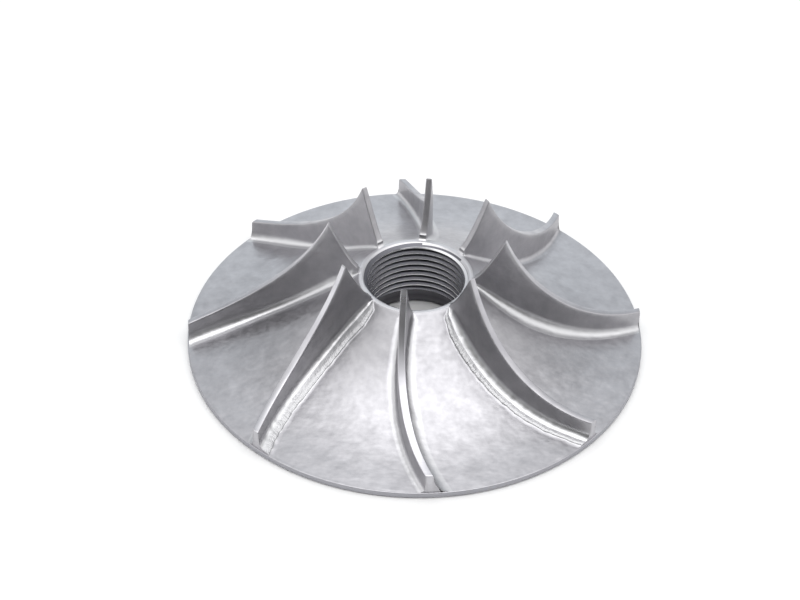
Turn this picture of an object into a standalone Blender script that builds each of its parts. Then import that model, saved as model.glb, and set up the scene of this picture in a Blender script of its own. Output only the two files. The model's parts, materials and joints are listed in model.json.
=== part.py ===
# Water pump impeller: one stainless steel casting with eight curved vanes.
# Metres, +Z towards the inlet, origin on the bore's axis in the back face.
# The casting is machined on its back, rim, inlet land, vane edges and threaded bore.

import math

import bmesh
import bpy

MM = 0.001

# Disc and hub: a thin rim whose floor rises to the hub as two cones blended by an arc
DISC_RADIUS = 66.5 * MM
RIM_THICKNESS = 1.8 * MM
RIM_CHAMFER = 0.35 * MM
HUB_HEIGHT = 23.2 * MM
LAND_RADIUS = 16.6 * MM
HUB_CONE_ANGLE = math.radians(35.0)
RIM_CONE_ANGLE = math.radians(8.5)
FLOOR_ARC_RADIUS = 74.0 * MM

# Bore: 30 mm thread of 2 mm pitch, left-hand, with a plain relief at the back
THREAD_RADIUS = 15.0 * MM
THREAD_PITCH = 2.0 * MM
THREAD_DEPTH = 1.083 * MM
FLANK_ANGLE = math.radians(30.0)
RELIEF_RADIUS = 15.8 * MM
RELIEF_DEPTH = 4.6 * MM
RELIEF_CHAMFER = 0.5 * MM

# Vanes in plan: upright strips on a circular arc, given by its distance from the axis
VANE_COUNT = 8
CAMBER_RADIUS = 69.3 * MM
CAMBER_CENTRE_RADIUS = 73.35 * MM
CAMBER_TURN = math.radians(63.1)
INLET_RADIUS = 16.75 * MM
PEAK_RADIUS = 25.4 * MM
TAIL_RADIUS = 66.1 * MM

# Vanes in side view: a hollow inlet edge up to the peak, then an edge turned to an arc
INLET_STEP = 1.4 * MM
INLET_HOLLOW = 1.3
EDGE_ARC_RADIUS = 52.05 * MM
EDGE_CENTRE_RADIUS = 73.4 * MM
EDGE_CENTRE_HEIGHT = 59.5 * MM

# Vane section: thinnest at the peak, thicker below by the casting's draft, with root fillets
PEAK_HALF_THICKNESS = 0.88 * MM
VANE_DRAFT = math.radians(0.5)
INLET_FILLET = 1.6 * MM
OUTLET_FILLET = 3.0 * MM
FILLET_SHARE = 0.7

# Fineness of the facets
DISC_STEPS = 80
BORE_STEPS = 36
FLOOR_ARC_POINTS = 9
INLET_SECTIONS = 4
EDGE_SECTIONS = 13
SECTION_SPREAD = 1.25
FILLET_FACETS = 3
SHARP_ANGLE = math.radians(35.0)

# How far cutters run past the metal, and how deep the vanes are rooted in the disc
OVERLAP = 1.0 * MM
FILLET_SINK = 0.08 * MM


def clear_scene():
    for old in list(bpy.data.objects):
        bpy.data.objects.remove(old, do_unlink=True)


def make_collection(name):
    collection = bpy.data.collections.new(name)
    bpy.context.scene.collection.children.link(collection)
    return collection


def add_object(name, mesh, collection):
    item = bpy.data.objects.new(name, mesh)
    collection.objects.link(item)
    return item


def cast_stainless():
    material = bpy.data.materials.new("cast_stainless")
    material.use_nodes = True
    shader = material.node_tree.nodes["Principled BSDF"]
    shader.inputs["Base Color"].default_value = (0.50, 0.50, 0.49, 1.0)
    shader.inputs["Metallic"].default_value = 1.0
    shader.inputs["Roughness"].default_value = 0.42
    return material


def turned(name, outline, steps, collection, turns=1, rise=0.0):
    """Turn a closed outline of (radius, height) points round Z, as a ring or a helix."""
    count = len(outline)
    mesh = bpy.data.meshes.new(name)
    points = [(radius, 0.0, height) for radius, height in outline]
    mesh.from_pydata(points, [(i, (i + 1) % count) for i in range(count)], [])
    item = add_object(name, mesh, collection)
    screw = item.modifiers.new("turn", "SCREW")
    screw.axis = "Z"
    screw.angle = 2.0 * math.pi * turns
    screw.screw_offset = rise
    screw.steps = screw.render_steps = steps
    screw.use_merge_vertices = rise == 0.0
    screw.merge_threshold = 0.00005
    return item


def evaluated_mesh(item):
    graph = bpy.context.evaluated_depsgraph_get()
    return bpy.data.meshes.new_from_object(item.evaluated_get(graph))


def combine(target, tool, operation):
    """Join or cut the target with a tool, which stays in the file as a hidden guide."""
    boolean = target.modifiers.new(tool.name, "BOOLEAN")
    boolean.operation = operation
    boolean.solver = "EXACT"
    boolean.object = tool
    tool.hide_render = True
    tool.display_type = "WIRE"


def floor_arc_span():
    """Radii where the blending arc leaves the hub cone and meets the rim cone."""
    hub_slope = math.tan(HUB_CONE_ANGLE)
    rim_slope = math.tan(RIM_CONE_ANGLE)
    hub_line = HUB_HEIGHT + hub_slope * LAND_RADIUS
    rim_line = RIM_THICKNESS + rim_slope * DISC_RADIUS
    corner = (hub_line - rim_line) / (hub_slope - rim_slope)
    tangent = FLOOR_ARC_RADIUS * math.tan((HUB_CONE_ANGLE - RIM_CONE_ANGLE) / 2.0)
    return corner - tangent * math.cos(HUB_CONE_ANGLE), corner + tangent * math.cos(RIM_CONE_ANGLE)


def floor_height(radius):
    """Height of the passage floor: hub cone, blending arc, rim cone."""
    arc_start, arc_end = floor_arc_span()
    hub_slope = math.tan(HUB_CONE_ANGLE)
    if radius <= arc_start:
        return HUB_HEIGHT - hub_slope * (radius - LAND_RADIUS)
    if radius >= arc_end:
        return RIM_THICKNESS + math.tan(RIM_CONE_ANGLE) * (DISC_RADIUS - radius)
    start_height = HUB_HEIGHT - hub_slope * (arc_start - LAND_RADIUS)
    centre_radius = arc_start + FLOOR_ARC_RADIUS * math.sin(HUB_CONE_ANGLE)
    centre_height = start_height + FLOOR_ARC_RADIUS * math.cos(HUB_CONE_ANGLE)
    return centre_height - math.sqrt(FLOOR_ARC_RADIUS ** 2 - (centre_radius - radius) ** 2)


def disc_outline():
    """Disc and hub, from the inlet land out over the floor, down the rim and back in."""
    core_radius = THREAD_RADIUS / 2.0
    arc_start, arc_end = floor_arc_span()
    outline = [(core_radius, HUB_HEIGHT), (LAND_RADIUS, HUB_HEIGHT)]
    for i in range(FLOOR_ARC_POINTS):
        radius = arc_start + (arc_end - arc_start) * i / (FLOOR_ARC_POINTS - 1)
        outline.append((radius, floor_height(radius)))
    outline.append((DISC_RADIUS, RIM_THICKNESS))
    outline.append((DISC_RADIUS, RIM_CHAMFER))
    outline.append((DISC_RADIUS - RIM_CHAMFER, 0.0))
    outline.append((core_radius, 0.0))
    return outline


def bore_outline():
    """Plain hole: chamfer at the inlet, thread crests, relief and chamfer at the back."""
    core_radius = THREAD_RADIUS / 4.0
    crest_radius = THREAD_RADIUS - THREAD_DEPTH
    return [
        (core_radius, HUB_HEIGHT + OVERLAP),
        (THREAD_RADIUS + OVERLAP, HUB_HEIGHT + OVERLAP),
        (crest_radius, HUB_HEIGHT - THREAD_DEPTH),
        (crest_radius, RELIEF_DEPTH + RELIEF_RADIUS - crest_radius),
        (RELIEF_RADIUS, RELIEF_DEPTH),
        (RELIEF_RADIUS, RELIEF_CHAMFER),
        (RELIEF_RADIUS + RELIEF_CHAMFER + OVERLAP, -OVERLAP),
        (core_radius, -OVERLAP),
    ]


def thread_groove(collection):
    """Left-hand helical cutter, from inside the relief to above the inlet land."""
    root_half = THREAD_PITCH / 16.0
    depth = THREAD_DEPTH + OVERLAP / 4.0
    mouth_half = root_half + depth * math.tan(FLANK_ANGLE)
    start = RELIEF_DEPTH - THREAD_PITCH / 2.0
    turns = math.ceil((HUB_HEIGHT + THREAD_PITCH - start) / THREAD_PITCH)
    outline = [
        (THREAD_RADIUS - depth, start + mouth_half),
        (THREAD_RADIUS, start + root_half),
        (THREAD_RADIUS, start - root_half),
        (THREAD_RADIUS - depth, start - mouth_half),
    ]
    helix = turned("thread_helix", outline, BORE_STEPS * turns, collection,
                   turns=-turns, rise=THREAD_PITCH * turns)
    shape = bmesh.new()
    shape.from_mesh(evaluated_mesh(helix))
    bpy.data.objects.remove(helix, do_unlink=True)
    bmesh.ops.holes_fill(shape, edges=[edge for edge in shape.edges if edge.is_boundary])
    bmesh.ops.recalc_face_normals(shape, faces=shape.faces)
    mesh = bpy.data.meshes.new("thread_groove")
    shape.to_mesh(mesh)
    shape.free()
    groove = add_object("thread_groove", mesh, collection)
    groove.rotation_euler.z = math.pi / BORE_STEPS
    return groove


def camber_angle(radius):
    """Angle round the axis of a vane's middle line, where it crosses this radius."""
    square = radius ** 2 + CAMBER_CENTRE_RADIUS ** 2 - CAMBER_RADIUS ** 2
    return CAMBER_TURN - math.acos(square / (2.0 * radius * CAMBER_CENTRE_RADIUS))


def camber_slant(radius):
    """Cosine of the angle between the middle line and the radius it crosses."""
    square = radius ** 2 + CAMBER_RADIUS ** 2 - CAMBER_CENTRE_RADIUS ** 2
    return math.sqrt(1.0 - (square / (2.0 * radius * CAMBER_RADIUS)) ** 2)


def turned_edge(radius):
    """Height of the turned outer edge of the vanes."""
    reach = EDGE_CENTRE_RADIUS - radius
    return EDGE_CENTRE_HEIGHT - math.sqrt(EDGE_ARC_RADIUS ** 2 - reach ** 2)


def vane_top(radius):
    """Height of a vane: the hollow inlet edge, then the turned edge."""
    if radius >= PEAK_RADIUS:
        return turned_edge(radius)
    start = HUB_HEIGHT + INLET_STEP
    share = (radius - INLET_RADIUS) / (PEAK_RADIUS - INLET_RADIUS)
    return start + (turned_edge(PEAK_RADIUS) - start) * share ** INLET_HOLLOW


def half_thickness(height):
    """Half the vane's thickness at a height, without its fillets."""
    return PEAK_HALF_THICKNESS + math.tan(VANE_DRAFT) * (turned_edge(PEAK_RADIUS) - height)


def vane_section(radius):
    """Ring of points round the vane, where a cylinder of this radius cuts it."""
    floor = floor_height(radius)
    top = vane_top(radius)
    outward = (radius - INLET_RADIUS) / (TAIL_RADIUS - INLET_RADIUS)
    fillet = INLET_FILLET + (OUTLET_FILLET - INLET_FILLET) * outward
    fillet = min(fillet, FILLET_SHARE * (top - floor))
    root_half = half_thickness(floor)
    side = [(root_half + fillet, floor - OVERLAP)]
    for i in range(FILLET_FACETS + 1):
        turn = 0.5 * math.pi * i / FILLET_FACETS
        lift = fillet * (1.0 - math.cos(turn)) - FILLET_SINK
        side.append((root_half + fillet * (1.0 - math.sin(turn)), floor + lift))
    side.append((half_thickness(top), top))
    outline = side + [(-offset, height) for offset, height in reversed(side)]
    ring = []
    for offset, height in outline:
        angle = camber_angle(radius) + offset / (radius * camber_slant(radius))
        ring.append((radius * math.cos(angle), radius * math.sin(angle), height))
    return ring


def section_radii():
    """Radii of the vane's sections: up the inlet edge, then out to the tail."""
    rise = PEAK_RADIUS - INLET_RADIUS
    run = TAIL_RADIUS - PEAK_RADIUS
    radii = [INLET_RADIUS + rise * i / INLET_SECTIONS for i in range(INLET_SECTIONS)]
    for i in range(EDGE_SECTIONS):
        radii.append(PEAK_RADIUS + run * (i / (EDGE_SECTIONS - 1)) ** SECTION_SPREAD)
    return radii


def vane_mesh():
    """One vane: a loft through its sections, closed at the inlet and the tail."""
    shape = bmesh.new()
    rings = []
    for radius in section_radii():
        rings.append([shape.verts.new(point) for point in vane_section(radius)])
    count = len(rings[0])
    for inner, outer in zip(rings, rings[1:]):
        for i in range(count):
            j = (i + 1) % count
            shape.faces.new((inner[i], inner[j], outer[j], outer[i]))
    shape.faces.new(rings[0])
    shape.faces.new(rings[-1])
    bmesh.ops.recalc_face_normals(shape, faces=shape.faces)
    mesh = bpy.data.meshes.new("vane")
    shape.to_mesh(mesh)
    shape.free()
    return mesh


def build():
    clear_scene()
    parts = make_collection("water_pump_impeller")
    tools = make_collection("cutters")

    casting = turned("impeller_casting", disc_outline(), DISC_STEPS, parts)
    casting.data.materials.append(cast_stainless())

    vane = vane_mesh()
    for k in range(VANE_COUNT):
        blade = add_object(f"vane_{k + 1}", vane, tools)
        blade.rotation_euler.z = 2.0 * math.pi * k / VANE_COUNT
        combine(casting, blade, "UNION")

    combine(casting, turned("bore", bore_outline(), BORE_STEPS, tools), "DIFFERENCE")
    combine(casting, thread_groove(tools), "DIFFERENCE")

    finished = evaluated_mesh(casting)
    finished.shade_smooth()
    finished.set_sharp_from_angle(angle=SHARP_ANGLE)
    casting.modifiers.clear()
    casting.data = finished


build()
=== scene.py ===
import json
import math

import bpy
import numpy as np
from mathutils import Matrix, Vector, noise


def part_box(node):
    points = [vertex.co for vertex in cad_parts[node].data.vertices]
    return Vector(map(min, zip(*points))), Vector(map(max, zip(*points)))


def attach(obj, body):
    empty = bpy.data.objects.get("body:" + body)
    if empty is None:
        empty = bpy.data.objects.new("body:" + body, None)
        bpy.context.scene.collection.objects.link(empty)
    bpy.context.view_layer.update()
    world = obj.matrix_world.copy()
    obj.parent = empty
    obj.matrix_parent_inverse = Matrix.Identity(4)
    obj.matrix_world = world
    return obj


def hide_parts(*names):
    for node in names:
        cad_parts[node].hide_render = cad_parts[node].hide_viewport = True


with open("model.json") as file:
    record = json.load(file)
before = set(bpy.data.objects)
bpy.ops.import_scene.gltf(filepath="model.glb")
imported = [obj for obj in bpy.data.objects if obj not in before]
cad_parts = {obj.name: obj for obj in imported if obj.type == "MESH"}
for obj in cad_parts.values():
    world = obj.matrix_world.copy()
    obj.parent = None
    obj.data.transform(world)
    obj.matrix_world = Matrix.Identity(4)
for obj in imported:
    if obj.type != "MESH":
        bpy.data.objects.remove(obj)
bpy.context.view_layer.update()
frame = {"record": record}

mm = 0.001
nearby = 0.004  # points nearer than this to a ring belong to it
weld = 0.002  # points nearer than this to each other become one


# Measures that come with the frame
castingLow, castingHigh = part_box("impeller_casting")
discRadius = castingHigh.x / mm
vaneTip = castingHigh.z / mm
inletLand = next(m for m in frame["record"]["mounts"] if m["name"] == "inlet_land")
hubHeight = inletLand["pos_m"][2] / mm


def deselectAll():
    if bpy.context.object and bpy.context.object.mode != "OBJECT":
        bpy.ops.object.mode_set(mode="OBJECT")
    bpy.ops.object.select_all(action="DESELECT")


def pickOnly(piece):
    deselectAll()
    piece.select_set(True)
    bpy.context.view_layer.objects.active = piece


def meshPoints(piece):
    flat = np.empty(len(piece.data.vertices) * 3, np.float32)
    piece.data.vertices.foreach_get("co", flat)
    return flat.reshape(-1, 3).astype(float) / mm


def setPoints(piece, points):
    piece.data.vertices.foreach_set("co", (points * mm).astype(np.float32).ravel())
    piece.data.update()


# Leaves only the wanted vertices selected, in edit mode
def editVerts(piece, wanted):
    pickOnly(piece)
    bpy.ops.object.mode_set(mode="EDIT")
    bpy.ops.mesh.select_mode(type="VERT")
    bpy.ops.mesh.select_all(action="DESELECT")
    bpy.ops.object.mode_set(mode="OBJECT")
    piece.data.vertices.foreach_set("select", np.asarray(wanted, bool))
    bpy.ops.object.mode_set(mode="EDIT")


# Camera at the photo's viewing angle: a long lens, 40 degrees above the table
cameraView = {
    "elevation": 40.43,
    "roll": 0.954,
    "distance": 619.2,
    "aim": (-4.475, 0.0, 13.875),
    "lens": 95.95,
}


def addCamera(view):
    tilt = math.radians(view["elevation"])
    back = Vector((0.0, -math.cos(tilt), math.sin(tilt)))
    data = bpy.data.cameras.new("photoCamera")
    data.lens = view["lens"]
    data.sensor_width = 36.0
    data.clip_start = 0.01
    data.clip_end = 20.0
    camera = bpy.data.objects.new("photoCamera", data)
    bpy.context.scene.collection.objects.link(camera)
    place = Matrix.Translation(Vector(view["aim"]) * mm + back * view["distance"] * mm)
    turn = Matrix.Rotation(math.pi / 2 - tilt, 4, "X")
    roll = Matrix.Rotation(math.radians(view["roll"]), 4, "Z")
    camera.matrix_world = place @ turn @ roll
    bpy.context.scene.camera = camera


addCamera(cameraView)
print("camera placed")


# The casting's main sizes, in millimetres and degrees
disc = {
    "rim": 1.8,
    "rimRound": 0.16,
    "rimTurns": (25, 50, 70, 90),
    "rimChamfer": 0.35,
    "backRings": (48.0, 30.0, 17.5),
    "land": 16.6,
    "shoulder": 1.6,
    "hubCone": 35.0,
    "rimCone": 8.5,
    "floorArc": 74.0,
}
vane = {
    "count": 8,
    "camberRadius": 69.3,
    "camberCentre": 73.35,
    "camberTurn": 63.1,
    "foot": 15.75,
    "inlet": 16.9,
    "peak": 25.4,
    "tail": 66.1,
    "inletStart": 16.75,
    "inletStep": 1.4,
    "inletHollow": 1.3,
    "edgeArc": 52.05,
    "edgeCentre": (73.4, 59.5),
    "halfThick": 0.88,
    "draft": 0.5,
    "thinning": (44.0, 0.16),
    "edgeRound": 0.38,
    "keenEdges": {6: 0.22, 7: 0.3},  # two vanes with edges less rounded than the rest
    "highlightedEdges": (5, 6),  # two vanes with a painted highlight on their edges, a lighter colour
}
# The root fillets. Where a key is a pair, it is the vane's number and its side: 1 for the side it
# turns towards, else -1. Reach is measured from the vane's middle line, as (radius, reach) along it.
fillets = {
    "reach": {
        "usual": ((17, 3.0), (30, 3.4), (48, 3.5), (66, 3.2)),
        (0, -1): ((17, 2.8), (25, 4.3), (33, 5.1), (41, 5.0), (49, 4.4), (58, 3.8), (66, 3.4)),
        (3, 1): ((17, 2.8), (45, 3.4), (54, 3.8), (66, 3.6)),
        (4, 1): ((17, 3.6), (25, 4.2), (34, 3.8), (42, 3.8), (50, 4.3), (59, 4.7), (66, 4.4)),
        (5, 1): ((17, 3.4), (23, 5.4), (31, 5.1), (46, 5.0), (51, 4.7), (66, 4.6)),
        (6, -1): ((17, 3.0), (34, 3.7), (47, 3.6), (66, 3.2)),
        (6, 1): ((17, 3.2), (36, 4.8), (42, 5.5), (51, 5.5), (66, 6.0)),
        (7, -1): ((17, 3.4), (23, 5.4), (31, 5.3), (46, 5.1), (66, 4.6)),
    },
    # Painted highlight: these shares lighten a fillet's colour towards the ground colour and smooth it. On
    # the ground bands the share is 1 and is also their ground finish with wheel marks.
    "usualHighlight": 0.35,
    "groundAndHighlightLevel": {(0, -1): 0.6, (1, -1): 0.0, (3, 1): 0.6, (4, 1): 0.6},
    "curveHighlight": 0.6,  # the most painted highlight that the curve above the band gets
    "highlightedFeet": (1, 2, 3),  # painted highlight on the rear vanes' feet on the land, a lighter colour
    "footHighlight": 0.6,
    "taller": {(3, 1): 1.25, (4, 1): 1.4},  # climbs the wall by more than it reaches out
    # Painted shade: how far each passage floor near the hub takes the walls' darker colour and roughness,
    # by vane and side
    "shadedFloor": {
        (5, 1): 1.0, (6, -1): 1.0,
        (6, 1): 0.2, (7, -1): 0.2,
        (7, 1): 0.7, (0, -1): 0.7,
    },
    "shadedReach": (24.0, 44.0),
    "band": (0.2, 3.0),  # share of the reach, tilt in degrees
    # Ground by hand, with a wider band and a little step at its end: share, then (radius, tilt)
    "groundBand": {
        (5, 1): (0.66, ((17, 7.0), (30, 9.0), (50, 18.0))),
        (7, -1): (0.45, ((17, 9.0), (66, 9.0))),
    },
    "step": 0.3,
    "stepWidth": 0.42,
    "waver": (0.45, 7.0),
    "ragged": (0.26, 1.5),
    # Below the full height a fillet shrinks, down to its least share. The others bound its parts.
    "fullHeight": 4.2,
    "leastHeight": 0.06,
    "leastShare": 0.22,
    "mostStep": 0.08,
    "mostClimb": 0.8,
}
# Columns of quads from a vane's middle line to the middle of the passage, on each side
columns = {"top": 1, "round": 3, "wall": 7, "fillet": 8, "band": 2, "step": 2, "floor": 16}


# Cone by the hub, arc and shallow cone by the rim, with a rounded shoulder at the inlet land
def floorHeight(radius):
    hubCone, rimCone = math.radians(disc["hubCone"]), math.radians(disc["rimCone"])
    hubSlope, rimSlope = math.tan(hubCone), math.tan(rimCone)
    hubLine = hubHeight + hubSlope * disc["land"]
    rimLine = disc["rim"] + rimSlope * discRadius
    corner = (hubLine - rimLine) / (hubSlope - rimSlope)
    tangent = disc["floorArc"] * math.tan((hubCone - rimCone) / 2)
    start = corner - tangent * math.cos(hubCone)
    end = corner + tangent * math.cos(rimCone)
    shoulder = disc["shoulder"]
    shoulderStart = disc["land"] - shoulder * math.tan(hubCone / 2)
    if radius <= shoulderStart:
        return hubHeight
    if radius <= shoulderStart + shoulder * math.sin(hubCone):
        return hubHeight - shoulder + math.sqrt(shoulder ** 2 - (radius - shoulderStart) ** 2)
    if radius <= start:
        return hubLine - hubSlope * radius
    if radius >= end:
        return rimLine - rimSlope * radius
    centre = start + disc["floorArc"] * math.sin(hubCone)
    level = hubLine - hubSlope * start + disc["floorArc"] * math.cos(hubCone)
    return level - math.sqrt(disc["floorArc"] ** 2 - (centre - radius) ** 2)


def turnedEdge(radius):
    centre, level = vane["edgeCentre"]
    return level - math.sqrt(vane["edgeArc"] ** 2 - (centre - radius) ** 2)


# Height of a vane's edge: a hollow foot on the land, the inlet edge up to the peak, then the turned edge
def vaneTop(radius):
    if radius >= vane["peak"]:
        return turnedEdge(radius)
    start = hubHeight + vane["inletStep"]
    share = max(0.0, radius - vane["inletStart"]) / (vane["peak"] - vane["inletStart"])
    edge = start + (turnedEdge(vane["peak"]) - start) * share ** vane["inletHollow"]
    if radius >= vane["inlet"]:
        return edge
    hollow = vane["inlet"] - vane["foot"]
    return hubHeight + hollow - math.sqrt(hollow ** 2 - (radius - vane["foot"]) ** 2)


def halfThickness(radius, height):
    start, thinner = vane["thinning"]
    share = max(0.0, radius - start) / (vane["tail"] - start)
    draft = math.tan(math.radians(vane["draft"])) * (vaneTip - height)
    return vane["halfThick"] + draft - thinner * share


def camberAngle(radius):
    square = radius ** 2 + vane["camberCentre"] ** 2 - vane["camberRadius"] ** 2
    return math.radians(vane["camberTurn"]) - math.acos(square / (2 * radius * vane["camberCentre"]))


def camberSlant(radius):
    square = radius ** 2 + vane["camberRadius"] ** 2 - vane["camberCentre"] ** 2
    return math.sqrt(1 - (square / (2 * radius * vane["camberRadius"])) ** 2)


# How far the root fillet reaches, its band as (share, tilt), the step at its end and its shine: a painted
# highlight, which on ground bands is also their ground finish
def rootFillet(radius, number, side):
    key = (number, side)
    reach = np.interp(radius, *zip(*fillets["reach"].get(key, fillets["reach"]["usual"])))
    if key not in fillets["groundBand"]:
        return reach, fillets["band"], 0.0, fillets["groundAndHighlightLevel"].get(key, fillets["usualHighlight"])
    for amount, length in (fillets["waver"], fillets["ragged"]):
        reach += amount * noise.noise(Vector((radius / length, number * 7.3, side * 3.1 + length)))
    bandShare, tilts = fillets["groundBand"][key]
    return reach, (bandShare, np.interp(radius, *zip(*tilts))), fillets["step"], 1.0


# Half of a vane's cross-section, from the middle of its edge down to the foot of its fillet.
# Each point has its offset, height, share of wall finish and share of ground finish with painted
# highlight.
def halfSection(radius, number, side, lowered):
    floor = floorHeight(radius)
    top = max(vaneTop(radius) - lowered, floor + fillets["leastHeight"])
    tall = top - floor
    reach, (bandShare, bandTilt), step, groundAndHighlightLevel = rootFillet(radius, number, side)
    full = min(1.0, tall / fillets["fullHeight"])
    low = max(fillets["leastShare"], full)
    root = halfThickness(radius, floor)
    width = (reach - root) * low
    step = min(step * low, fillets["mostStep"] * tall)
    stepWidth = fillets["stepWidth"] * low
    slope = math.tan(math.radians(bandTilt)) * full
    bandEnd = root + width - stepWidth
    bandStart = root + (width - stepWidth) * (1 - bandShare)
    across = bandStart - root
    climb = fillets["taller"].get((number, side), 1.0) * across
    climb = min(climb, fillets["mostClimb"] * tall - step - slope * (bandEnd - root))
    edgeRound = min(vane["keenEdges"].get(number, vane["edgeRound"]), 0.1 * tall)
    topHalf = halfThickness(radius, top)
    points = [(0.0, top, 0.0, 0.0), (topHalf - edgeRound, top, 0.0, 0.0)]
    for i in range(columns["round"]):
        turn = 0.5 * math.pi * (i + 1) / columns["round"]
        height = top - edgeRound * (1 - math.cos(turn))
        points.append((topHalf - edgeRound * (1 - math.sin(turn)), height, 1.0, 0.0))
    wallTop = top - edgeRound
    wallFoot = floor + step + slope * (bandEnd - root) + climb
    for i in range(columns["wall"]):
        height = wallTop + (wallFoot - wallTop) * (i + 1) / columns["wall"]
        points.append((halfThickness(radius, height), height, 1.0, 0.0))
    wallHalf = points[-1][0]
    for i in range(columns["fillet"]):
        turn = 0.5 * math.pi * (i + 1) / columns["fillet"]
        offset = wallHalf + (bandStart - wallHalf) * (1 - math.cos(turn))
        height = floor + step + slope * (bandEnd - offset) + climb * (1 - math.sin(turn))
        done = (i + 1) / columns["fillet"]
        curveHighlight = min(groundAndHighlightLevel, fillets["curveHighlight"]) * min(1.0, 1.8 * done)
        points.append((offset, height, max(0.0, 1 - 1.4 * done), curveHighlight))
    for i in range(columns["band"]):
        offset = bandStart + (bandEnd - bandStart) * (i + 1) / columns["band"]
        points.append((offset, floor + step + slope * (bandEnd - offset), 0.0, groundAndHighlightLevel))
    points.append((bandEnd + 0.4 * stepWidth, floor + 0.35 * step, 0.0, 0.4 * groundAndHighlightLevel))
    points.append((bandEnd + stepWidth, floor, 0.0, 0.0))
    return points


# Radii of the rows of quads: land, vane foot, inlet edge, peak, turned edge, tail, rim
def rowRadii():
    rows = [(15.6, "land", 0.0), (15.7, "land", 0.0), (15.76, "land", 0.0)]
    rows += [(r, "vane", 0.0) for r in (15.8, 15.95, 16.1, 16.25, 16.4, 16.55, 16.68, 16.78, 16.85)]
    rows += [(r, "vane", 0.0) for r in (16.89, 16.93)]
    rows += [(r, "vane", 0.0) for r in np.linspace(17.15, 25.1, 22)]
    rows += [(25.3, "vane", 0.12), (25.45, "vane", 0.1), (25.65, "vane", 0.03)]
    rows += [(r, "vane", 0.0) for r in np.linspace(26.0, 65.8, 82)]
    rows += [(65.95, "vane", 0.03), (66.06, "vane", 0.1), (66.1, "vane", 0.22)]
    rows += [(66.12, "flat", 0.0), (66.15, "flat", 0.0)]
    return rows


# How strongly the cast skin's unevenness shows: not at all on land, rim and turned edges
def castShare(radius, kind, column):
    if kind == "land" or radius < vane["inlet"] + 0.2 or radius > vane["tail"] - 0.3:
        return 0.0
    if column <= columns["top"] + columns["round"]:
        return 0.0 if radius >= vane["peak"] - 0.5 else 0.4
    return 1.0


# Painted shade: near the hub the floor of some passages takes the walls' darker colour and rougher finish
def paintedShadeShare(radius, number, side):
    start, end = fillets["shadedReach"]
    share = min(1.0, max(0.0, (end - radius) / (end - start)))
    return fillets["shadedFloor"].get((number, side), 0.0) * share * share * (3 - 2 * share)


# Every point of one vane with half a passage on each side: place, way along and across,
# and the shares of cast unevenness, wall finish (with painted shade on some floors near the hub)
# and ground finish with painted highlight
def sectorPoints(number):
    count = sum(columns.values())
    footColumn = count - columns["floor"]
    half = math.pi / vane["count"]
    lines = []
    along = lastRadius = 0.0
    for radius, kind, lowered in rowRadii():
        mmToTurn = 1 / (radius * camberSlant(radius))
        along += (radius - lastRadius) / camberSlant(radius)
        lastRadius = radius
        floor = floorHeight(radius)
        line = []
        for side in (-1, 1):
            seen = max(vane["foot"] + 0.02, min(vane["tail"], radius))
            section = halfSection(seen, number, side, lowered)
            reach = section[-1][0]
            if kind == "flat":
                section = [(reach * i / footColumn, floor, 0.0, 0.0) for i in range(footColumn + 1)]
            # Painted shade: near the hub these floor points take the walls' darker colour through the wall
            # share
            dull = paintedShadeShare(radius, number, side)
            for i in range(columns["floor"]):
                share = (i + 1) / columns["floor"]
                section.append((reach * (1 - share) + half / mmToTurn * share, floor, dull, 0.0))
            if kind == "land":
                section = [(half / mmToTurn * i / count, hubHeight, 0.0, 0.0) for i in range(count + 1)]
            across = 0.0
            points = []
            for i, (offset, height, wall, groundAndHighlightLevel) in enumerate(section):
                wall = 1.0 if radius < vane["peak"] and kind == "vane" and i < columns["wall"] else wall
                across += math.dist(section[i - 1][:2], section[i][:2]) if i else 0.0
                # Painted highlight: the rear vanes' feet on the land get the lighter ground colour
                if number in fillets["highlightedFeet"] and radius < vane["inlet"] + 0.3 and i < footColumn:
                    wall, groundAndHighlightLevel = 0.0, fillets["footHighlight"]
                shares = (castShare(radius, kind, i), wall, groundAndHighlightLevel)
                points.append((side * offset * mmToTurn, height, along, side * across, *shares))
            line = points[:0:-1] if side < 0 else line + points
        around = camberAngle(radius) + number * 2 * half
        for turn, *rest in line:
            lines.append((radius * math.cos(around + turn), radius * math.sin(around + turn), *rest))
    return np.array(lines)


# Lays the surface's own lengths out as a UV map, in metres
def layOutMap(piece, lengths):
    corners = np.empty(len(piece.data.loops), np.int32)
    piece.data.loops.foreach_get("vertex_index", corners)
    piece.data.uv_layers.active.data.foreach_set("uv", (lengths[corners] * mm).astype(np.float32).ravel())


def addShare(piece, name, values):
    share = piece.data.attributes.new(name=name, type="FLOAT", domain="POINT")
    share.data.foreach_set("value", values.astype(np.float32))


def addSector(number):
    count = 2 * sum(columns.values())
    rows = len(rowRadii())
    deselectAll()
    bpy.ops.mesh.primitive_grid_add(x_subdivisions=count, y_subdivisions=rows - 1, size=1)
    sector = bpy.context.object
    sector.name = f"castSector{number}"
    points = sectorPoints(number)
    setPoints(sector, points[:, :3])
    layOutMap(sector, points[:, 3:5])
    addShare(sector, "wallShare", points[:, 6])
    addShare(sector, "groundAndHighlightShare", points[:, 7])
    skinGroup = sector.vertex_groups.new(name="castSkin")
    for share in np.unique(points[:, 5]):
        skinGroup.add(np.flatnonzero(points[:, 5] == share).tolist(), share, "REPLACE")
    return sector


sectors = [addSector(number) for number in range(vane["count"])]
deselectAll()
for sector in sectors:
    sector.select_set(True)
bpy.context.view_layer.objects.active = sectors[0]
bpy.ops.object.join()
skin = bpy.context.object
skin.name = skin.data.name = "impellerCastingSkin"
bpy.ops.object.mode_set(mode="EDIT")
bpy.ops.mesh.select_all(action="SELECT")
bpy.ops.mesh.remove_doubles(threshold=weld * mm)
bpy.ops.object.mode_set(mode="OBJECT")
print("sectors joined:", len(skin.data.vertices), "points")


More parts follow.
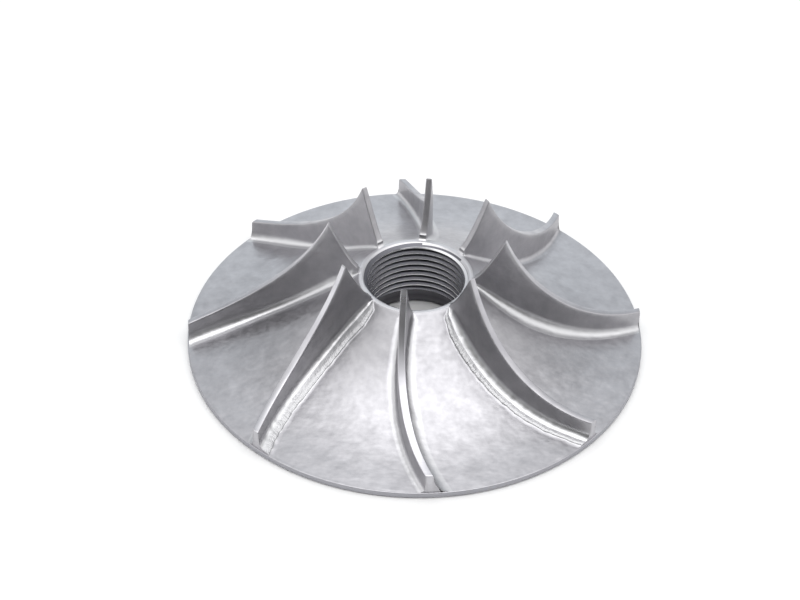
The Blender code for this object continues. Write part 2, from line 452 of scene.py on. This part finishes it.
# Picks the ring of vertices at one radius and height
def editRing(piece, *rings):
    points = meshPoints(piece)
    radii = np.hypot(points[:, 0], points[:, 1])
    wanted = np.zeros(len(points), bool)
    for radius, height in rings:
        wanted |= (abs(radii - radius) < nearby) & (abs(points[:, 2] - height) < nearby)
    editVerts(piece, wanted)


# Extrudes an open ring through a turned profile of (radius, height) points
def turnProfile(piece, start, profile):
    editRing(piece, start)
    radius, height = start
    for nextRadius, nextHeight in profile:
        drop = (0.0, 0.0, (nextHeight - height) * mm)
        grow = nextRadius / radius
        bpy.ops.mesh.extrude_region_move(TRANSFORM_OT_translate={"value": drop})
        bpy.ops.transform.resize(value=(grow, grow, 1.0), center_override=(0.0, 0.0, 0.0))
        radius, height = nextRadius, nextHeight
    bpy.ops.object.mode_set(mode="OBJECT")


# Closes the flat ring between two circles with unlike numbers of points
def fillBetween(piece, first, second):
    editRing(piece, first, second)
    bpy.ops.mesh.fill(use_beauty=True)
    bpy.ops.object.mode_set(mode="OBJECT")


# The bore: a left-hand thread between the inlet chamfer and a plain relief at the back
bore = {
    "thread": 15.0,
    "pitch": 2.0,
    "depth": 1.083,
    "flank": 30.0,
    "turn": 5.0,
    "countersink": (15.55, 30.0),
    "relief": 15.8,
    "reliefDepth": 4.6,
    "reliefChamfer": 0.5,
    "columns": 156,
    "snap": 0.04,
    "rows": (-0.40, -0.36, -0.21, -0.0625, 0.0625, 0.21, 0.36, 0.40),
}


def boreRadius(height, turn):
    pitch = bore["pitch"]
    crest = bore["thread"] - bore["depth"]
    risen = pitch * (turn - math.radians(bore["turn"])) / (2 * math.pi)
    grooveLevel = bore["reliefDepth"] - pitch / 2 - risen
    phase = (height - grooveLevel) / pitch
    away = abs(phase - round(phase)) * pitch
    flank = bore["thread"] - (away - pitch / 16) / math.tan(math.radians(bore["flank"]))
    thread = min(bore["thread"], max(crest, flank))
    mouth, tilt = bore["countersink"]
    countersink = mouth - (hubHeight - height) / math.tan(math.radians(tilt))
    relief = bore["relief"] - (height - bore["reliefDepth"])
    return max(thread, countersink, relief)


def addBore():
    pitch = bore["pitch"]
    turns = math.ceil((hubHeight - bore["reliefDepth"]) / pitch) + 2
    phases = [i + share for i in range(turns) for share in bore["rows"]]
    count = bore["columns"]
    deselectAll()
    bpy.ops.mesh.primitive_grid_add(x_subdivisions=count, y_subdivisions=len(phases) - 1, size=1)
    piece = bpy.context.object
    piece.name = "threadedBore"
    start = bore["reliefDepth"] - pitch / 2 + pitch * math.radians(bore["turn"]) / (2 * math.pi)
    points = []
    lengths = []
    for phase in phases:
        for i in range(count + 1):
            turn = 2 * math.pi * i / count
            lengths.append((turn * bore["thread"], pitch * phase))
            height = start + pitch * (phase - i / count)
            height = hubHeight if height > hubHeight - bore["snap"] else height
            height = bore["reliefDepth"] if height < bore["reliefDepth"] + bore["snap"] else height
            radius = boreRadius(height, turn)
            points.append((radius * math.cos(turn), radius * math.sin(turn), height))
    setPoints(piece, np.array(points))
    layOutMap(piece, np.array(lengths))
    bpy.ops.object.mode_set(mode="EDIT")
    bpy.ops.mesh.select_all(action="SELECT")
    bpy.ops.mesh.remove_doubles(threshold=weld * mm)
    bpy.ops.object.mode_set(mode="OBJECT")
    foot = (bore["relief"], bore["reliefDepth"])
    chamfer = bore["reliefChamfer"]
    turnProfile(piece, foot, [(bore["relief"], chamfer), (bore["relief"] + chamfer, 0.0)])
    return piece


# Rim and back are turned: the profile runs over the rim, down it and in across the back
rimTop = (rowRadii()[-1][0], floorHeight(rowRadii()[-1][0]))
rimProfile = []
for turn in disc["rimTurns"]:
    out, up = math.sin(math.radians(turn)), math.cos(math.radians(turn))
    radius = rimTop[0] + (discRadius - rimTop[0]) * out
    rimProfile.append((radius, rimTop[1] - disc["rimRound"] * (1 - up)))
rimProfile += [(discRadius, disc["rimChamfer"]), (discRadius - disc["rimChamfer"], 0.0)]
rimProfile += [(radius, 0.0) for radius in disc["backRings"]]
turnProfile(skin, rimTop, rimProfile)
boreSkin = addBore()
print("bore threaded:", len(boreSkin.data.vertices), "points")
pickOnly(skin)
boreSkin.select_set(True)
bpy.ops.object.join()
landRing = (rowRadii()[0][0], hubHeight)
fillBetween(skin, landRing, (bore["countersink"][0], hubHeight))
fillBetween(skin, rimProfile[-1], (bore["relief"] + bore["reliefChamfer"], 0.0))
bpy.ops.object.mode_set(mode="EDIT")
bpy.ops.mesh.select_all(action="SELECT")
bpy.ops.mesh.normals_make_consistent(inside=False)
bpy.ops.object.mode_set(mode="OBJECT")
bpy.ops.object.shade_smooth_by_angle(angle=math.radians(40.0))
print("casting closed:", len(skin.data.polygons), "faces")


# Unevenness of the cast skin: long swells left by the wax, and the shorter orange peel of the shell
unevenness = {
    "swell": (11.0, 0.10),
    "peel": (3.2, 0.045),
}


def addUnevenness(piece, name, size, height):
    texture = bpy.data.textures.new(name, "CLOUDS")
    texture.noise_scale = size * mm
    texture.noise_depth = 1
    displace = piece.modifiers.new(name, "DISPLACE")
    displace.texture = texture
    displace.texture_coords = "LOCAL"
    displace.vertex_group = "castSkin"
    displace.strength = height * mm
    displace.mid_level = 0.5
    pickOnly(piece)
    bpy.ops.object.modifier_apply(modifier=name)


for name, (size, height) in unevenness.items():
    addUnevenness(skin, name, size, height)
print("cast skin made uneven")


# Colours are sRGB hex values, turned to linear
def hexColour(code):
    parts = [int(code[i:i + 2], 16) / 255 for i in (1, 3, 5)]
    linear = [v / 12.92 if v <= 0.04045 else ((v + 0.055) / 1.055) ** 2.4 for v in parts]
    return (*linear, 1.0)


# Adds a node with its settings and links: inputs are values or other nodes' outputs
def addNode(tree, kind, settings=None, inputs=None):
    node = tree.nodes.new(kind)
    for name, value in (settings or {}).items():
        setattr(node, name, value)
    for key, value in (inputs or {}).items():
        if isinstance(value, bpy.types.NodeSocket):
            tree.links.new(value, node.inputs[key])
        else:
            node.inputs[key].default_value = value
    return node


def newMaterial(name):
    material = bpy.data.materials.new(name)
    material.use_nodes = True
    tree = material.node_tree
    return material, tree, tree.nodes["Principled BSDF"]


# Investment-cast stainless steel, blasted and tumbled: a soft grey metal with a fine dimpled grain
# that breaks highlights into flecks. The steep walls keep a duller skin. The root fillets are painted
# lighter towards the ground colour, a painted highlight; where they were ground by hand they are
# lightest, partly ground finish and partly painted highlight, with slanting marks of the wheel.
# Near the hub some passage floors take the walls' darker colour, a painted shade.
castLook = {
    "bright": "#C3C2C6",
    "dull": "#ADACB0",
    "wall": ("#B8B7BA", "#A5A4A8"),
    # painted highlight: the lighter colour of the root fillets, also the ground bands' own finish
    "groundAndHighlight": "#D2D2D4",
    "mottle": (0.28, 0.72),
    "skinRoughness": (0.28, 0.36),
    "wallRoughness": 0.44,
    "groundRoughness": (0.34, 0.5),
    "polishAndHighlight": 0.6,
    "grain": (1.35, 0.02),
    "dimples": (3.2, 0.11),
    "cloud": 4.5,
    "streak": (2.6, 0.9, 0.02),
    "wheelMarks": (0.75, 40.0, 0.24),
}


def castStainless(look):
    material, tree, shader = newMaterial("investmentCastStainless")
    place = addNode(tree, "ShaderNodeTexCoord").outputs["Object"]
    wall = addNode(tree, "ShaderNodeAttribute", {"attribute_name": "wallShare"}).outputs["Fac"]
    groundAndHighlight = addNode(tree, "ShaderNodeAttribute", {"attribute_name": "groundAndHighlightShare"}).outputs["Fac"]
    cloud = addNode(tree, "ShaderNodeTexNoise", inputs={
        "Vector": place, "Scale": 1 / (look["cloud"] * mm), "Detail": 4.0, "Roughness": 0.6})
    fleck = addNode(tree, "ShaderNodeTexNoise", inputs={
        "Vector": place, "Scale": 1 / (look["grain"][0] * mm), "Detail": 0.0, "Roughness": 0.5})
    dimples = addNode(tree, "ShaderNodeTexNoise", inputs={
        "Vector": place, "Scale": 1 / (look["dimples"][0] * mm), "Detail": 1.0, "Roughness": 0.5})
    long, short, streakHeight = look["streak"]
    slanted = addNode(tree, "ShaderNodeMapping", inputs={
        "Vector": place, "Rotation": (0.0, 0.0, math.radians(-47.0)),
        "Scale": (1 / (long * mm), 1 / (short * mm), 1 / (short * mm))})
    streaks = addNode(tree, "ShaderNodeTexNoise", inputs={
        "Vector": slanted.outputs["Vector"], "Scale": 1.0, "Detail": 1.0, "Roughness": 0.5})
    way = addNode(tree, "ShaderNodeUVMap").outputs["UV"]
    step, lean, markHeight = look["wheelMarks"]
    turned = addNode(tree, "ShaderNodeMapping", inputs={
        "Vector": way, "Rotation": (0.0, 0.0, math.radians(lean)),
        "Scale": (1 / (step * mm), 0.5 / (step * mm), 1.0)})
    marks = addNode(tree, "ShaderNodeTexNoise", inputs={
        "Vector": turned.outputs["Vector"], "Scale": 1.0, "Detail": 3.0, "Roughness": 0.6})
    mottle = addNode(tree, "ShaderNodeMapRange", inputs={
        "Value": cloud.outputs["Fac"], "From Min": look["mottle"][0], "From Max": look["mottle"][1]})
    skinColour = addNode(tree, "ShaderNodeMix", {"data_type": "RGBA"}, {
        "Factor": mottle.outputs["Result"],
        "A": hexColour(look["bright"]), "B": hexColour(look["dull"])})
    wallShade = addNode(tree, "ShaderNodeMix", {"data_type": "RGBA"}, {
        "Factor": mottle.outputs["Result"],
        "A": hexColour(look["wall"][0]), "B": hexColour(look["wall"][1])})
    wallColour = addNode(tree, "ShaderNodeMix", {"data_type": "RGBA"}, {
        "Factor": wall, "A": skinColour.outputs[2], "B": wallShade.outputs[2]})
    # The ground share mixes in the lighter ground colour, a painted highlight, and the ground roughness
    polishAndHighlight = addNode(tree, "ShaderNodeMapRange", inputs={
        "Value": groundAndHighlight, "From Max": look["polishAndHighlight"], "To Max": 1.0}).outputs["Result"]
    marked = addNode(tree, "ShaderNodeMapRange", inputs={
        "Value": groundAndHighlight, "From Min": look["polishAndHighlight"], "From Max": 1.0}).outputs["Result"]
    colour = addNode(tree, "ShaderNodeMix", {"data_type": "RGBA"}, {
        "Factor": polishAndHighlight, "A": wallColour.outputs[2], "B": hexColour(look["groundAndHighlight"])})
    skinRough = addNode(tree, "ShaderNodeMapRange", inputs={
        "Value": fleck.outputs["Fac"], "From Min": 0.3, "From Max": 0.7,
        "To Min": look["skinRoughness"][0], "To Max": look["skinRoughness"][1]})
    wallRough = addNode(tree, "ShaderNodeMix", {"data_type": "FLOAT"}, {
        "Factor": wall, "A": skinRough.outputs["Result"], "B": look["wallRoughness"]})
    groundRough = addNode(tree, "ShaderNodeMapRange", inputs={
        "Value": marked, "To Min": look["groundRoughness"][0], "To Max": look["groundRoughness"][1]})
    rough = addNode(tree, "ShaderNodeMix", {"data_type": "FLOAT"}, {
        "Factor": polishAndHighlight, "A": wallRough.outputs[0], "B": groundRough.outputs["Result"]})
    markLevel = addNode(tree, "ShaderNodeMath", {"operation": "MULTIPLY"}, {
        0: marks.outputs["Fac"], 1: marked})
    relief = addNode(tree, "ShaderNodeBump", inputs={
        "Height": dimples.outputs["Fac"], "Strength": 1.0, "Distance": look["dimples"][1] * mm})
    flow = addNode(tree, "ShaderNodeBump", inputs={
        "Height": streaks.outputs["Fac"], "Strength": 1.0, "Distance": streakHeight * mm,
        "Normal": relief.outputs["Normal"]})
    wheel = addNode(tree, "ShaderNodeBump", inputs={
        "Height": markLevel.outputs[0], "Strength": 1.0, "Distance": markHeight * mm,
        "Normal": flow.outputs["Normal"]})
    fine = addNode(tree, "ShaderNodeBump", inputs={
        "Height": fleck.outputs["Fac"], "Strength": 1.0, "Distance": look["grain"][1] * mm,
        "Normal": wheel.outputs["Normal"]})
    tree.links.new(colour.outputs[2], shader.inputs["Base Color"])
    tree.links.new(rough.outputs[0], shader.inputs["Roughness"])
    tree.links.new(fine.outputs["Normal"], shader.inputs["Normal"])
    shader.inputs["Metallic"].default_value = 1.0
    return material


# The same steel cut on the lathe: brighter and smoother, with fine rings left by the tool's nose,
# wider rings where the tool wore or chattered, and broad faint stains from handling.
# Two vane edges are painted lighter, a painted highlight. The rim is painted darker, a painted
# shade, and the land lightest, a painted highlight. The relief at the back of the bore is painted
# dark, a painted shade in the recess. Rings are (feed, height).
turnedLook = {"base": "#C0BFC3", "worn": "#B1B0B5", "roughness": (0.3, 0.42), "rings": (0.5, 0.002)}
# Painted highlight: a lighter colour on two vanes' edges
highlightedEdgeLook = {"base": "#D6D5D9", "worn": "#C6C5CA", "roughness": (0.26, 0.38), "rings": (0.5, 0.002)}
# Painted shade: the rim is darker
shadedRimLook = {"base": "#A9A9AE", "worn": "#9D9DA3", "roughness": (0.38, 0.5), "rings": (0.4, 0.002)}
# Painted highlight: the land and countersink are lightest
highlightedLandLook = {"base": "#D8D7DA", "worn": "#C8C7CB", "roughness": (0.34, 0.46), "rings": (0.6, 0.003)}
# Painted shade: the relief at the back of the bore is dark
shadedReliefLook = {"base": "#706F73", "worn": "#5C5B60", "roughness": (0.44, 0.56), "rings": (0.4, 0.002)}
cut = {"wander": 2.4, "stain": 14.0, "stainShare": 0.4, "wear": (0.35, 0.65)}


def turnedStainless(name, look):
    material, tree, shader = newMaterial(name)
    feed, ringHeight = look["rings"]
    least, most = cut["wear"]
    place = addNode(tree, "ShaderNodeTexCoord").outputs["Object"]
    flat = addNode(tree, "ShaderNodeVectorMath", {"operation": "MULTIPLY"}, {0: place, 1: (1.0, 1.0, 0.0)})
    radius = addNode(tree, "ShaderNodeVectorMath", {"operation": "LENGTH"}, {0: flat.outputs["Vector"]})
    height = addNode(tree, "ShaderNodeSeparateXYZ", inputs={0: place}).outputs["Z"]
    travel = addNode(tree, "ShaderNodeMath", {"operation": "ADD"}, {0: radius.outputs["Value"], 1: height})
    turns = addNode(tree, "ShaderNodeMath", {"operation": "MULTIPLY"}, {
        0: travel.outputs[0], 1: 2 * math.pi / (feed * mm)})
    rings = addNode(tree, "ShaderNodeMath", {"operation": "SINE"}, {0: turns.outputs[0]})
    wander = addNode(tree, "ShaderNodeTexNoise", {"noise_dimensions": "1D"}, {
        "W": travel.outputs[0], "Scale": 1 / (cut["wander"] * mm), "Detail": 4.0, "Roughness": 0.7})
    stain = addNode(tree, "ShaderNodeTexNoise", inputs={
        "Vector": place, "Scale": 1 / (cut["stain"] * mm), "Detail": 4.0, "Roughness": 0.6})
    wear = addNode(tree, "ShaderNodeMix", {"data_type": "FLOAT"}, {
        "Factor": cut["stainShare"], "A": wander.outputs["Fac"], "B": stain.outputs["Fac"]})
    rough = addNode(tree, "ShaderNodeMapRange", inputs={
        "Value": wear.outputs[0], "From Min": least, "From Max": most,
        "To Min": look["roughness"][0], "To Max": look["roughness"][1]})
    share = addNode(tree, "ShaderNodeMapRange", inputs={
        "Value": wear.outputs[0], "From Min": least, "From Max": most})
    colour = addNode(tree, "ShaderNodeMix", {"data_type": "RGBA"}, {
        "Factor": share.outputs["Result"], "A": hexColour(look["base"]), "B": hexColour(look["worn"])})
    bump = addNode(tree, "ShaderNodeBump", inputs={
        "Height": rings.outputs[0], "Strength": 1.0, "Distance": ringHeight * mm})
    tree.links.new(colour.outputs[2], shader.inputs["Base Color"])
    tree.links.new(rough.outputs["Result"], shader.inputs["Roughness"])
    tree.links.new(bump.outputs["Normal"], shader.inputs["Normal"])
    shader.inputs["Metallic"].default_value = 1.0
    return material


# Thread cut with a tap: crests painted light, a painted highlight, and flanks and grooves painted dark, a
# painted shade
threadLook = {
    "crest": "#F4F4F7",
    "groove": "#6C6C72",
    "roughness": 0.4,
    "crestHighlightShare": (0.58, 0.92),
    "drag": (0.12, 0.003),
}


def cutThread(look):
    material, tree, shader = newMaterial("cutThreadStainless")
    way = addNode(tree, "ShaderNodeUVMap").outputs["UV"]
    rows = addNode(tree, "ShaderNodeSeparateXYZ", inputs={0: way})
    pitches = addNode(tree, "ShaderNodeMath", {"operation": "MULTIPLY"}, {
        0: rows.outputs["Y"], 1: 2 * math.pi / (bore["pitch"] * mm)})
    wave = addNode(tree, "ShaderNodeMath", {"operation": "COSINE"}, {0: pitches.outputs[0]})
    crestWave = addNode(tree, "ShaderNodeMath", {"operation": "MULTIPLY"}, {0: wave.outputs[0], 1: -1.0})
    crest = addNode(tree, "ShaderNodeMapRange", {"interpolation_type": "SMOOTHSTEP"}, {
        "Value": crestWave.outputs[0],
        "From Min": look["crestHighlightShare"][0], "From Max": look["crestHighlightShare"][1]})
    colour = addNode(tree, "ShaderNodeMix", {"data_type": "RGBA"}, {
        "Factor": crest.outputs["Result"],
        "A": hexColour(look["groove"]), "B": hexColour(look["crest"])})
    stretched = addNode(tree, "ShaderNodeMapping", inputs={"Vector": way, "Scale": (0.02, 1.0, 1.0)})
    drag = addNode(tree, "ShaderNodeTexNoise", inputs={
        "Vector": stretched.outputs["Vector"], "Scale": 1 / (look["drag"][0] * mm), "Detail": 2.0})
    bump = addNode(tree, "ShaderNodeBump", inputs={
        "Height": drag.outputs["Fac"], "Strength": 1.0, "Distance": look["drag"][1] * mm})
    tree.links.new(colour.outputs[2], shader.inputs["Base Color"])
    tree.links.new(bump.outputs["Normal"], shader.inputs["Normal"])
    shader.inputs["Metallic"].default_value = 1.0
    shader.inputs["Roughness"].default_value = look["roughness"]
    return material


# Selects faces by the place of their centres and gives them a material slot
def giveMaterial(piece, material, wanted):
    piece.data.materials.append(material)
    piece.active_material_index = len(piece.data.materials) - 1
    pickOnly(piece)
    bpy.ops.object.mode_set(mode="EDIT")
    bpy.ops.mesh.select_mode(type="FACE")
    bpy.ops.mesh.select_all(action="DESELECT")
    bpy.ops.object.mode_set(mode="OBJECT")
    piece.data.polygons.foreach_set("select", wanted)
    bpy.ops.object.mode_set(mode="EDIT")
    bpy.ops.object.material_slot_assign()
    bpy.ops.object.mode_set(mode="OBJECT")


# Where each finish goes, from the middles of the faces
centres = np.empty(len(skin.data.polygons) * 3, np.float32)
skin.data.polygons.foreach_get("center", centres)
centres = centres.reshape(-1, 3).astype(float) / mm
centreRadii = np.hypot(centres[:, 0], centres[:, 1])
heights = centres[:, 2]
slack = 0.01
edgeLevel = np.array([vaneTop(max(radius, vane["inlet"])) for radius in centreRadii])
onEdge = (heights > edgeLevel - 0.2 * vane["edgeRound"]) & (centreRadii > vane["peak"] + 0.3)
vaneAngles = [camberAngle(radius) for radius in np.clip(centreRadii, vane["foot"], vane["tail"])]
around = np.arctan2(centres[:, 1], centres[:, 0]) - vaneAngles
vaneNumbers = np.round(around * vane["count"] / (2 * math.pi)).astype(int) % vane["count"]
onHighlightedEdge = onEdge & np.isin(vaneNumbers, vane["highlightedEdges"])
onRim = centreRadii > discRadius - 0.06
onBack = heights < disc["rimChamfer"]
onLand = (heights > hubHeight - slack) & (centreRadii < disc["land"])
byMouth = (centreRadii < disc["land"]) & (heights > 3 * bore["reliefDepth"])
onCountersink = byMouth & (centreRadii > bore["thread"])
inBore = (centreRadii < bore["thread"] + slack) & (heights < hubHeight - slack)
inRelief = (centreRadii < bore["relief"] + slack) & (heights < bore["reliefDepth"] + slack)
skin.data.materials.clear()
giveMaterial(skin, castStainless(castLook), np.ones(len(centres), bool))
giveMaterial(skin, turnedStainless("turnedStainless", turnedLook), onEdge | onBack)
giveMaterial(skin, turnedStainless("highlightedEdge", highlightedEdgeLook), onHighlightedEdge)
giveMaterial(skin, turnedStainless("highlightedLand", highlightedLandLook), onLand | onCountersink)
giveMaterial(skin, turnedStainless("shadedTurnedRim", shadedRimLook), onRim)
giveMaterial(skin, cutThread(threadLook), inBore & ~onBack)
giveMaterial(skin, turnedStainless("shadedRelief", shadedReliefLook), inRelief & ~onBack)
print("finishes given")

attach(skin, "root")
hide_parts("impeller_casting")


def addFloor():
    bpy.ops.mesh.primitive_plane_add(size=6.0, location=(0.0, 0.0, -0.0001))
    table = bpy.context.object
    table.name = "paleTable"
    material, tree, shader = newMaterial("paleTableTop")
    shader.inputs["Base Color"].default_value = hexColour("#F6F6F6")
    shader.inputs["Roughness"].default_value = 0.9
    table.data.materials.append(material)


deselectAll()
addFloor()

# Soft studio light, as in a white tent: brightest overhead, a little dimmer in its rear corners,
# with a dark open front where the camera stands. Each glow has its azimuth from behind the part,
# its elevation, its inner and outer angle, its strength and its tint. The last one takes some red
# and a little green out of the light from the tent's back wall, which leaves it faintly blue.
studio = {
    "ambient": 1.05,
    "glows": (
        (168.0, 79.0, 0.0, 44.0, 1.32, "#FFFFFF"),
        (90.0, 18.0, 5.0, 45.0, 0.26, "#FFFFFF"),
        (-90.0, 18.0, 5.0, 45.0, 0.26, "#FFFFFF"),
        (50.0, 33.0, 0.0, 34.0, -0.4, "#FFFFFF"),
        (-50.0, 33.0, 0.0, 34.0, -0.4, "#FFFFFF"),
        (0.0, 12.0, 0.0, 60.0, -0.09, "#FFB040"),
    ),
    "openFront": (180.0, 12.0, 25.0, 58.0, 0.88),
    "backdrop": 1.0,
}


# How near a direction is to the middle of a glow, from 0 at its outer angle to 1 at its inner angle
def addGlow(tree, way, azimuth, elevation, inner, outer):
    around, up = math.radians(azimuth), math.radians(elevation)
    middle = (math.sin(around) * math.cos(up), math.cos(around) * math.cos(up), math.sin(up))
    closeness = addNode(tree, "ShaderNodeVectorMath", {"operation": "DOT_PRODUCT"}, {0: way, 1: middle})
    return addNode(tree, "ShaderNodeMapRange", {"interpolation_type": "SMOOTHSTEP"}, {
        "Value": closeness.outputs["Value"], "From Min": math.cos(math.radians(outer)),
        "From Max": math.cos(math.radians(inner))}).outputs["Result"]


def addWorld(light):
    world = bpy.data.worlds.new("paleStudio")
    bpy.context.scene.world = world
    world.use_nodes = True
    tree = world.node_tree
    background = tree.nodes["Background"]
    way = addNode(tree, "ShaderNodeTexCoord").outputs["Generated"]
    total = (light["ambient"],) * 3
    for *place, strength, tint in light["glows"]:
        colour = [strength * part for part in hexColour(tint)[:3]]
        total = addNode(tree, "ShaderNodeVectorMath", {"operation": "MULTIPLY_ADD"}, {
            0: colour, 1: addGlow(tree, way, *place), 2: total}).outputs["Vector"]
    *place, depth = light["openFront"]
    dimming = addNode(tree, "ShaderNodeMapRange", inputs={
        "Value": addGlow(tree, way, *place), "To Min": 1.0, "To Max": 1.0 - depth}).outputs["Result"]
    lit = addNode(tree, "ShaderNodeVectorMath", {"operation": "MULTIPLY"}, {0: total, 1: dimming})
    seen = addNode(tree, "ShaderNodeLightPath").outputs["Is Camera Ray"]
    shown = addNode(tree, "ShaderNodeMix", {"data_type": "RGBA"}, {
        "Factor": seen, "A": lit.outputs["Vector"], "B": (light["backdrop"],) * 3 + (1.0,)})
    tree.links.new(shown.outputs[2], background.inputs["Color"])


addWorld(studio)
bpy.context.scene.view_settings.view_transform = "Standard"
print("studio lit")
